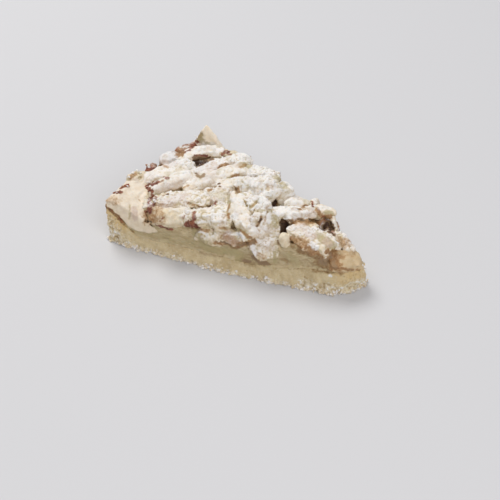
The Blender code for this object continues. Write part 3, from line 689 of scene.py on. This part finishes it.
# Pieces. Each kind of finish says how far the surface swells, how high its bumps of 4.5, 2 and 0.9 mm are, how
# deep its creases go, how high its curds stand, and how well the icing sugar lies on it.
FINISH = {
    "smooth": (0.15, 0.3, 0.16, 0.05, 0.1, 0.0, 0.42),
    "silky": (0.22, 0.5, 0.22, 0.05, 0.18, 0.0, 0.86),
    "soft": (0.25, 0.55, 0.28, 0.09, 0.25, 0.15, 0.9),
    "lumpy": (0.22, 0.75, 0.3, 0.08, 0.28, 0.35, 1.25),
    "grainy": (0.2, 0.5, 0.38, 0.25, 0.3, 0.3, 0.88),
    "crisp": (0.0, 0.35, 0.4, 0.35, 0.4, 0.3, 0.4),
}
FINISHED = {
    "smooth": ("rim_slice", "rim_fin", "nose_slice", "seed_piece", "edge_blob"),
    "silky": ("finger", "finger_long", "finger_end", "back_strip", "arch_slice", "tube_slice", "tube_end",
              "small_bridge", "slab_middle", "edge_wedge", "rim_ball"),
    "lumpy": ("lump_left", "lump_low", "lump_front", "lump_middle", "lump_back_left", "lump_back_right",
              "sugared_mass", "back_mass", "back_edge_right", "pale_slice", "strip_lump", "plate_right"),
    "grainy": ("hanging_slab", "crusted_chunk", "long_slab", "nose_bed", "low_chunk_left", "low_chunk_right",
               "slab_upright", "front_slice"),
    "crisp": ("rim_cube_front", "rim_cube_back", "rim_crumb", "rim_bump", "back_edge_left"),
}
APPLE_OF = {
    "browned_apple": ("rim_cube_front", "rim_cube_back", "rim_crumb", "hollow_chunk"),
    "pale_apple": ("rim_slice", "seed_piece", "tube_slice", "edge_blob", "plate_right"),
    "tanned_apple": ("nose_slice", "back_chunk_left", "back_chunk_right"),
    "golden_apple": ("browned_chunk", "small_chunk"),
    # The ball takes apple painted darker with shade, and the fin takes apple painted lighter with light.
    "shaded_apple": ("rim_ball",),
    "painted_light_apple": ("rim_fin",),
}
# Pieces that stand clear of their neighbours, and the share of the sugar on pieces that have little
CLEAR = ("seed_piece", "tube_slice", "tube_end")
BARE = {"nose_slice": 0.25, "back_chunk_left": 0.25, "back_chunk_right": 0.25, "browned_chunk": 0.75,
        "small_chunk": 0.25}
RELAX = 3
RELAX_MORE = 5
CURD_SIZE = 3.3
GROOVE_DEPTH = 0.9
PIT_DEPTH = 0.7
JOIN_HEIGHT = 0.75


def kind_of(name, table, usual):
    """The kind under which a table lists a node, or the usual one."""
    return next((kind for kind, names in table.items() if name in names), usual)


def shape_topping(name, mesh, finish, marks, seed):
    """Swells a piece, most of all towards its neighbours, and gives it bumps, creases, curds and dents. Returns
    the height of its finer relief."""
    swell, wide, middle, fine, crease, curd = finish
    points, normals = read(mesh)
    pit = marked(points, marks["pit"])
    dents = GROOVE_DEPTH * marked(points, marks["groove"]) + PIT_DEPTH * pit
    lines = 1 - np.abs(bumps(points, 3.4, seed + 30))
    nearest = cells(points + 0.6 * bumps(points, 2.0, seed + 70)[:, None], CURD_SIZE, seed)[0]
    relief = (middle * bumps(points, 2.0, seed + 3) + fine * bumps(points, 0.95, seed + 7)
              - crease * ramp(lines, 0.82, 1.0) + curd * (0.45 - nearest))
    height = swell + wide * layered(points, 4.5, seed) + relief - dents
    if name not in CLEAR:
        height += JOIN_HEIGHT * closeness(name, points) * (1 - pit)
    write(mesh, points + normals * height[:, None])
    return relief


def mask_topping(name, mesh, dusty, relief, tree, marks, seed):
    """Stores the masks: sugar on open faces that look up, and painted shade as tan, dark and olive in the
    folds.
    """
    points, normals = read(mesh)
    around, above = shelter(tree, points, normals)
    hollow = ramp(-relief, -0.1, 0.55)
    fold = folds(mesh, points, normals)
    crease = ramp(fold, 0.06, 0.4)
    patchy = 0.5 + 0.5 * layered(points, 4.0, seed + 50)
    sugar = dusty * ramp(normals[:, 2], -0.5, 0.8) * ramp(above, 0.1, 0.9) * (0.36 + 0.8 * patchy)
    # Thinner sugar in hollows and creases and a little more on ridges: painted shade and painted highlight.
    ridge = ramp(-fold, 0.1, 0.45) * ramp(sugar, 0.2, 0.6)
    sugar = sugar * (1 - 0.3 * hollow) * (1 - 0.45 * crease) + 0.12 * ridge
    red, tan, dark, olive, pink, white = colour_marks(points, marks)
    bare = marked(points, marks["bare"])
    sugar = np.maximum(sugar * (1 - bare) * (1 - 0.9 * np.maximum(red, tan)), white)
    # Painted shade: tan and dark where the surface is enclosed or folds in, and olive in hollows and creases.
    tan = np.maximum(tan, 0.6 * ramp(around, 0.55, 0.1))
    crease_shade_patches = ramp(layered(points, 6.5, seed + 85), -0.1, 0.35)
    tan = np.maximum(tan, 0.75 * crease * crease_shade_patches * (1 - 0.5 * ramp(around, 0.5, 0.9)))
    dark = np.maximum(dark, 0.45 * ramp(around, 0.28, 0.02))
    dark = np.maximum(dark, 0.4 * ramp(fold, 0.35, 0.9) * ramp(around, 0.7, 0.3))
    plain = name in FINISHED["smooth"] or name in BARE
    olive = np.maximum(olive, (0.35 if plain else 0.8) * np.maximum(hollow, crease))
    if not plain:
        olive = np.maximum(olive, 0.6 * ramp(layered(points, 5.0, seed + 90), 0.08, 0.5))
        pink = np.maximum(pink, 0.6 * ramp(layered(points, 6.0, seed + 95), 0.05, 0.5))
    if name in APPLE_OF["browned_apple"]:
        red = np.maximum(red, 0.35 + 0.4 * layered(points, 2.2, seed + 60))
    sugar = sugar * BARE.get(name, 1.0) * (1 - 0.6 * np.maximum(olive, 0.5 * pink))
    colour_masks(mesh, red, tan, dark, olive, pink, sugar)


def build_topping(name, looks, tree, marks):
    kind = kind_of(name, FINISHED, "soft")
    seed = sum(name.encode()) % 97
    mesh = voxelled(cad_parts[name], VOXEL, RELAX_MORE if kind in ("smooth", "silky") else RELAX)
    *finish, dusty = FINISH[kind]
    relief = shape_topping(name, mesh, finish, marks, seed)
    mask_topping(name, mesh, dusty, relief, tree, marks, seed)
    apple = kind_of(name, APPLE_OF, "apple")
    slot = apple if apple == "browned_apple" else "apple"
    return add_piece("dusted_" + name, mesh, looks[apple], slot, name)


def nearness(points, normals, name, reach):
    """1 where a point on a side face is close to another node, and 0 beyond reach, with an uneven edge."""
    other = tree_of([name])
    away = np.full(len(points), 99.0)
    for n in np.flatnonzero(np.abs(normals[:, 2]) < 0.75):
        found = other.find_nearest(Vector(points[n] * MM), reach * MM * 1.5)[3]
        if found is not None:
            away[n] = found / MM
    return 1 - ramp(away + 0.9 * bumps(points, 3.5, 61) + 0.4 * bumps(points, 1.2, 62), 0.5, reach)


def shape_crust(mesh, marks):
    """Roughens the shortcrust, most at its foot, on its outer wall and at its crumbly marks. Returns where it
    faces sideways, how rough it is and how far its lumps stand out."""
    points, normals = read(mesh)
    level = points[:, 2]
    side = 1 - ramp(np.abs(normals[:, 2]), 0.35, 0.8)
    foot = 1 - ramp(level, 0.3, 2.8)
    crumbly = marked(points, marks["crumbly"])
    wall = ramp(-points[:, 0], 38.0, 56.0) * ramp(-normals[:, 0], 0.1, 0.75)
    outer = np.maximum(0.45 * wall, crumbly)
    crumb = 0.5 - cells(points, 1.5, 4)[0]
    lump = 0.5 - cells(points + 0.5 * bumps(points, 1.5, 64)[:, None], 2.6, 5)[0]
    grit = bumps(points, 1.1, 18)
    height = side * (0.12 + 0.3 * bumps(points, 3.5, 8) + 0.25 * crumb + 0.15 * bumps(points, 0.9, 9))
    height += side * outer * (1.2 * lump + 0.6 * crumb + 0.5 * bumps(points, 2.4, 17) + 0.3 * grit - 0.25)
    height += 0.5 * closeness("crust", points)
    height -= 0.9 * crumbly * ramp(points[:, 0], 60, 66) * ramp(level, 8, 12)
    height += side * foot * (0.5 + bumps(points, 1.7, 10) + 0.7 * crumb)
    normals[:, 2] *= ramp(level, 0.2, 2.0)
    points = points + normals * height[:, None]
    points[:, 2] = np.maximum(points[:, 2], 0.0)
    write(mesh, points)
    return side, outer, lump + 0.5 * crumb + 0.25 * grit


def build_crust(looks, marks):
    """The shortcrust, with sugar on its foot and lumps, and browned on the rim, the outer wall and the nose."""
    mesh = voxelled(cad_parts["crust"], CRUST_VOXEL, RELAX)
    side, outer, raised = shape_crust(mesh, marks)
    points, normals = read(mesh)
    level = points[:, 2]
    red, tan, dark, olive, pink, white = colour_marks(points, marks)
    low = 1 - ramp(level + 1.5 * bumps(points, 4.0, 19), 9.0, 14.0)
    # Sugar on the raised lumps, which also stands as a painted highlight, and tan in the hollows between them
    # as painted shade.
    white = np.maximum(white, 0.75 * outer * side * low * ramp(raised, 0.0, 0.35))
    tan = np.maximum(tan, 0.6 * outer * side * ramp(raised, -0.02, -0.3))
    high = ramp(level, 19.0, 24.0)
    tan = np.maximum(tan, high * (0.55 + 0.5 * bumps(points, 3.0, 14)))
    red = np.maximum(red, high * (0.25 + 0.7 * bumps(points, 2.4, 15)))
    foot = 1 - ramp(level, 0.2, 2.2)
    sugar = np.maximum(white, foot * (0.35 + 0.5 * bumps(points, 2.2, 16)) * side)
    wall = ramp(-points[:, 0], 48.0, 58.0) * ramp(level + 4 * ramp(-normals[:, 0], 0.5, 0.9), 7.0, 15.0)
    nose = ramp(points[:, 0], 56.0, 66.0) * ramp(level, 3.0, 8.0)
    browned = np.maximum(0.75 * wall, 0.8 * nose) * (0.8 + 0.35 * bumps(points, 4.0, 63))
    browned = np.maximum(browned, marked(points, marks["golden"]))
    colour_mask(mesh, "baking", 0.6 * nearness(points, normals, "filling", 2.6), outer, browned)
    colour_masks(mesh, red, tan, dark, olive, pink, sugar)
    return add_piece("baked_crust", mesh, looks["crust"], "crust", "crust")


def build_filling(looks, tree, marks):
    """The apple filling: flat layers at the left, and chunks of apple with seams between them at the right."""
    mesh = voxelled(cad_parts["filling"], CRUST_VOXEL, RELAX)
    points, normals = read(mesh)
    layers = bumps(points * (1, 1, 3.2), 6.0, 21) * 0.4 + bumps(points * (1, 1, 2.2), 3.0, 22) * 0.25
    side = 1 - ramp(np.abs(normals[:, 2]), 0.4, 0.8)
    warped = (points + np.stack([2.6 * layered(points, 6.0, k) for k in (25, 27, 29)], 1)) * (1, 1, 1.5)
    nearest, second, chunk = cells(warped, 8.5, 26)
    chunky = ramp(points[:, 0], -26.0, 4.0) * side
    seam = ramp(second - nearest, 0.22, 0.0) * chunky * (0.5 + 0.5 * bumps(points, 7.0, 28))
    tone = 0.5 + (chunk - 0.5) * chunky
    height = 0.2 + 0.35 * side + layers * (1 - 0.5 * chunky) + 0.12 * bumps(points, 1.1, 23)
    height += 0.6 * closeness("filling", points) - 0.35 * seam + 0.35 * (tone - 0.5)
    write(mesh, points + normals * height[:, None])
    points, normals = read(mesh)
    around, above = shelter(tree, points, normals)
    red, tan, dark, olive, pink, white = colour_marks(points, marks)
    top = ramp(normals[:, 2], 0.2, 0.8)
    sugar = np.maximum(white, top * ramp(above, 0.3, 0.95) * (0.3 + 0.5 * bumps(points, 3.0, 24)) * (1 - tan))
    # Painted shade: tan and dark on the top where it is enclosed.
    tan = np.maximum(tan, 0.7 * top * ramp(around, 0.8, 0.2))
    dark = np.maximum(dark, 0.6 * top * ramp(around, 0.45, 0.05))
    colour_mask(mesh, "baking", 0.7 * nearness(points, normals, "crust", 2.2), tone, seam)
    colour_masks(mesh, red, tan, dark, olive, pink, sugar)
    return add_piece("cut_filling", mesh, looks["filling"], "filling", "filling")


# Scattered icing sugar, bits and crumbs: how many, and their least and greatest half width in millimetres
SHARE = 1.0
SUGAR_CLUMPS = (int(500 * SHARE), 0.16, 0.36)
SUGAR_GRAINS = (int(6000 * SHARE), 0.06, 0.14)
APPLE_BITS = (200, 0.25, 0.6)
BASE_CRUMBS = (900, 0.25, 1.05)
FINE_CRUMBS = (2200, 0.14, 0.34)
NEVER = 1e-9


def small_ball(divisions):
    """An icosphere's points and triangles."""
    ball = bmesh.new()
    bmesh.ops.create_icosphere(ball, subdivisions=divisions, radius=1.0)
    points = np.array([v.co[:] for v in ball.verts])
    faces = np.array([[v.index for v in f.verts] for f in ball.faces])
    ball.free()
    return points, faces


OCTAHEDRON = (
    np.array([(1, 0, 0), (-1, 0, 0), (0, 1, 0), (0, -1, 0), (0, 0, 1), (0, 0, -1)], float),
    np.array([(0, 2, 4), (2, 1, 4), (1, 3, 4), (3, 0, 4), (2, 0, 5), (1, 2, 5), (3, 1, 5), (0, 3, 5)]),
)


def scatter(name, shape, places, sizes, rng, rough, look, slot, dress=None, flat=False):
    """One mesh of many small lumps, each turned and pressed its own way. dress gives the mesh its masks."""
    points, faces = shape
    count = len(places)
    turn = np.linalg.qr(rng.normal(size=(count, 3, 3)))[0]
    turn[np.linalg.det(turn) < 0] *= -1
    press = rng.uniform(0.6, 1.25, (count, 1, 3))
    shapes = np.repeat(points[None], count, 0)
    odd = rng.uniform(0, 300, (count, 1, 3))
    spots = (shapes + odd).reshape(-1, 3)
    dents = 1 + rough * (bumps(spots, 0.9, 3) + 0.5 * bumps(spots, 0.45, 4)).reshape(count, -1, 1)
    lumps = np.einsum("nij,nkj->nki", turn, shapes * press * dents) * sizes[:, None, None] + places[:, None]
    lumps[..., 2] = np.maximum(lumps[..., 2], 0.0)
    corners = (faces[None] + (np.arange(count) * len(points))[:, None, None]).reshape(-1, 3)
    mesh = bpy.data.meshes.new(name)
    mesh.from_pydata((lumps.reshape(-1, 3) * MM).tolist(), [], corners.tolist())
    if dress:
        dress(mesh)
    add_piece(name, mesh, look, slot)
    if flat:
        mesh.shade_flat()


def surface_samples(pieces, rng, amount, slimmest, weight_of):
    """Random places on the pieces, as weight_of weighs them, with the normals there and a size for each, which
    slimmest makes smaller here and there."""
    count, least, most = amount
    found = []
    for piece in pieces:
        points, normals = read(piece.data)
        found.append((points, normals, weight_of(piece, points, normals)))
    places, ways, weights = (np.concatenate(part) for part in zip(*found))
    chosen = rng.choice(len(places), size=count, p=weights / weights.sum())
    places = places[chosen] + rng.normal(scale=0.2, size=(count, 3))
    sizes = rng.uniform(least, most, count)
    if slimmest < 1:
        sizes *= rng.uniform(slimmest, 1.0, count)
    return places, ways[chosen], sizes


def sugar_weight(piece, points, normals):
    sugar = fetch(piece.data.attributes["dusting_and_painted_light"].data, "color", 4)[:, 2]
    return ramp(sugar, 0.5, 0.95) * ramp(normals[:, 2], 0.0, 0.6) + NEVER


def build_sugar(toppings, looks):
    rng = np.random.default_rng(41)
    places, ways, sizes = surface_samples(toppings, rng, SUGAR_CLUMPS, 0.6, sugar_weight)
    scatter("icing_sugar_clumps", small_ball(2), places - ways * (0.5 * sizes)[:, None], sizes, rng, 0.5,
            looks["sugar"], "apple")
    places, ways, sizes = surface_samples(toppings, rng, SUGAR_GRAINS, 1.0, sugar_weight)
    scatter("icing_sugar_grains", OCTAHEDRON, places, sizes, rng, 0.3, looks["sugar"], "apple", flat=True)


def dress_bits(mesh):
    """Masks for loose bits: sugared above, tanned here and there."""
    points, normals = read(mesh)
    sugar = (0.5 + 0.7 * ramp(normals[:, 2], -0.3, 0.7)) * (0.85 + 0.3 * bumps(points, 1.5, 72))
    tan = ramp(bumps(points, 7.0, 71), 0.45, 0.8) * 0.7
    colour_masks(mesh, 0, tan, 0, 0, 0, sugar * (1 - tan))


def bit_weight(piece, points, normals):
    name = piece.name.removeprefix("dusted_")
    if name in (*FINISHED["smooth"], *FINISHED["silky"], *APPLE_OF["browned_apple"], "browned_chunk"):
        return np.full(len(points), NEVER)
    return sugar_weight(piece, points, normals) * ramp(bumps(points, 8.0, 73), -0.2, 0.4) + NEVER


def build_bits(toppings, looks):
    """Loose bits of apple and crumb, half sunk in the heap."""
    rng = np.random.default_rng(42)
    places, ways, sizes = surface_samples(toppings, rng, APPLE_BITS, 0.7, bit_weight)
    scatter("apple_bits", small_ball(2), places - ways * (0.3 * sizes)[:, None], sizes, rng, 0.55,
            looks["apple"], "apple", dress_bits)


# Bits of skin, crust and apple that the photograph shows, by pixel and half width in millimetres
BROWNED_BITS = (
    (105, 204, 1.3), (104, 201, 1.2), (106, 198, 1.1), (110, 195, 0.9), (114, 193, 1.2), (117, 193, 1.3),
    (120, 192, 1.4), (121, 189, 0.9), (123, 187, 1.4), (126, 186, 1.5), (128, 185, 1.0), (125, 182, 0.7),
    (147, 187, 1.3), (150, 190, 1.2), (152, 192, 0.9), (149, 185, 0.9), (153, 183, 1.0), (157, 182, 1.2),
    (149, 199, 1.0), (154, 204, 0.9), (149, 208, 1.3), (147, 211, 1.3), (146, 214, 0.9), (165, 178, 0.8),
    (168, 177, 0.8), (188, 225, 1.1), (191, 223, 1.2), (194, 225, 1.2), (192, 227, 1.1), (195, 219, 0.8),
    (194, 215, 0.8), (191, 146, 1.1), (194, 143, 0.9), (197, 141, 0.8), (224, 152, 1.0), (228, 153, 1.0),
    (221, 166, 1.0), (161, 227, 0.7), (167, 228, 0.7), (314, 212, 0.6), (107, 208, 0.8), (111, 209, 0.8),
)
PALE_BITS = (
    (154, 200, 0.9), (151, 203, 0.9), (161, 200, 0.8), (163, 199, 0.7), (197, 137, 1.0), (193, 141, 1.1),
    (149, 165, 1.0), (237, 233, 1.1), (241, 234, 1.0), (239, 237, 0.8), (243, 238, 0.7), (234, 216, 1.1),
    (236, 218, 0.9), (364, 267, 1.4), (365, 270, 1.2), (362, 265, 1.0), (331, 276, 0.6), (137, 171, 1.5),
    (133, 173, 1.2), (129, 177, 1.0), (126, 180, 1.2), (141, 173, 1.0), (258, 165, 1.2), (262, 168, 1.0),
    (254, 167, 1.0), (230, 147, 1.2), (233, 149, 1.2), (228, 148, 0.9), (181, 147, 1.0), (185, 147, 1.1),
    (188, 147, 0.9), (270, 170, 1.0), (313, 244, 1.0), (316, 247, 1.0),
)


def dress_brown(mesh):
    points, normals = read(mesh)
    red = 0.62 + 0.35 * bumps(points, 1.6, 75)
    sugar = 0.5 * ramp(normals[:, 2], 0.3, 0.9) * ramp(bumps(points, 2.2, 76), 0.0, 0.5)
    colour_masks(mesh, red, 1 - red, 0, 0, 0, sugar)


def build_placed_bits(tree, looks):
    """The bits that the photograph shows, each with two smaller ones beside it."""
    rng = np.random.default_rng(44)
    for name, rows, apple, dress in (("browned_bits", BROWNED_BITS, "browned_apple", dress_brown),
                                     ("pale_bits", PALE_BITS, "apple", dress_bits)):
        places = []
        sizes = []
        for x, y, size in rows:
            start, way = pixel_ray(x, y)
            hit = tree.ray_cast(start, way)[0]
            if hit is None:
                hit = tree.find_nearest(start + way * DISTANCE)[0]
            for n in range(3):
                places.append(np.array(hit) / MM + rng.normal(scale=0.45 * size * (n > 0), size=3))
                sizes.append(size * (0.62 if n == 0 else rng.uniform(0.3, 0.5)))
        scatter(name, small_ball(3), np.array(places), np.array(sizes), rng, 0.4, looks[apple], apple, dress)


def crumb_weight(piece, points, normals):
    low = 1 - ramp(points[:, 2], 0.6, 2.4)
    side = ramp(1 - np.abs(normals[:, 2]), 0.3, 0.8)
    patchy = ramp(bumps(points, 9.0, 33), -0.5, 0.5)
    return low * side * (0.25 + patchy) + NEVER


def build_crumbs(crust, looks):
    rng = np.random.default_rng(43)
    for name, amount, divisions in (("base_crumbs", BASE_CRUMBS, 2), ("fine_crumbs", FINE_CRUMBS, 1)):
        places, ways, sizes = surface_samples([crust], rng, amount, 0.6, crumb_weight)
        out = rng.uniform(-0.2, 0.5, len(sizes)) * sizes
        places = places + ways * (1, 1, 0) * out[:, None]
        places[:, 2] = np.maximum(places[:, 2], sizes * 0.4)
        scatter(name, small_ball(divisions), places, sizes, rng, 0.5, looks["crumbs"], "crust")


# Floor and light. A light has how far it stands towards the camera, to the picture's right and up, in metres,
# and its power, width and colour.
FLOOR_REACH = 3.0
FLOOR_GAP = 0.00002
FLOOR_GREY = (0.62, 0.62, 0.63, 1)
SKY = (0.93, 0.94, 1.0, 1)
SKY_STRENGTH = 0.42
LIGHTS = {
    "key": (-0.75, -0.55, 1.35, 17.0, 0.9, (1.0, 0.985, 0.96)),
    "fill": (1.0, 0.35, 0.9, 8.5, 1.2, (1.0, 0.975, 0.95)),
}


def build_floor():
    floor = bpy.data.meshes.new("floor")
    far = FLOOR_REACH
    floor.from_pydata([(-far, -far, 0), (far, -far, 0), (far, far, 0), (-far, far, 0)], [], [(0, 1, 2, 3)])
    look = Look("floor")
    look.set(Base_Color=FLOOR_GREY, Roughness=0.9, Specular_IOR_Level=0.1)
    floor.materials.append(look.material)
    piece = put("floor", floor)
    piece.location.z = CAD_BOX[0][2] - FLOOR_GAP


def light_up():
    world = bpy.data.worlds.new("world")
    bpy.context.scene.world = world
    world.use_nodes = True
    background = world.node_tree.nodes["Background"]
    background.inputs["Color"].default_value = SKY
    background.inputs["Strength"].default_value = SKY_STRENGTH
    back, right, _ = look_axes()
    level = Vector((back.x, back.y, 0)).normalized()
    for name, (near, aside, up, energy, size, colour) in LIGHTS.items():
        light = bpy.data.lights.new(name, "AREA")
        light.energy = energy
        light.shape = "DISK"
        light.size = size
        light.color = colour
        lamp = put(name, light)
        lamp.location = level * near + right * aside + Vector((0, 0, up))
        lamp.rotation_euler = lamp.location.to_track_quat("Z", "Y").to_euler()
    bpy.context.scene.view_settings.view_transform = "Standard"


def main():
    make_camera()
    light_up()
    build_floor()
    looks = {name: apple_look(name, *apple) for name, apple in APPLES.items()}
    looks |= {"crust": crust_look(), "filling": filling_look(), "sugar": sugar_look(), "crumbs": crumb_look()}
    tree = tree_of(sorted(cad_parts))
    marks = put_marks(tree)
    crust = build_crust(looks, marks)
    build_filling(looks, tree, marks)
    toppings = [build_topping(name, looks, tree, marks) for name in sorted(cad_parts)
                if name not in ("crust", "filling")]
    build_bits(toppings, looks)
    build_placed_bits(tree, looks)
    build_sugar(toppings, looks)
    build_crumbs(crust, looks)


main()
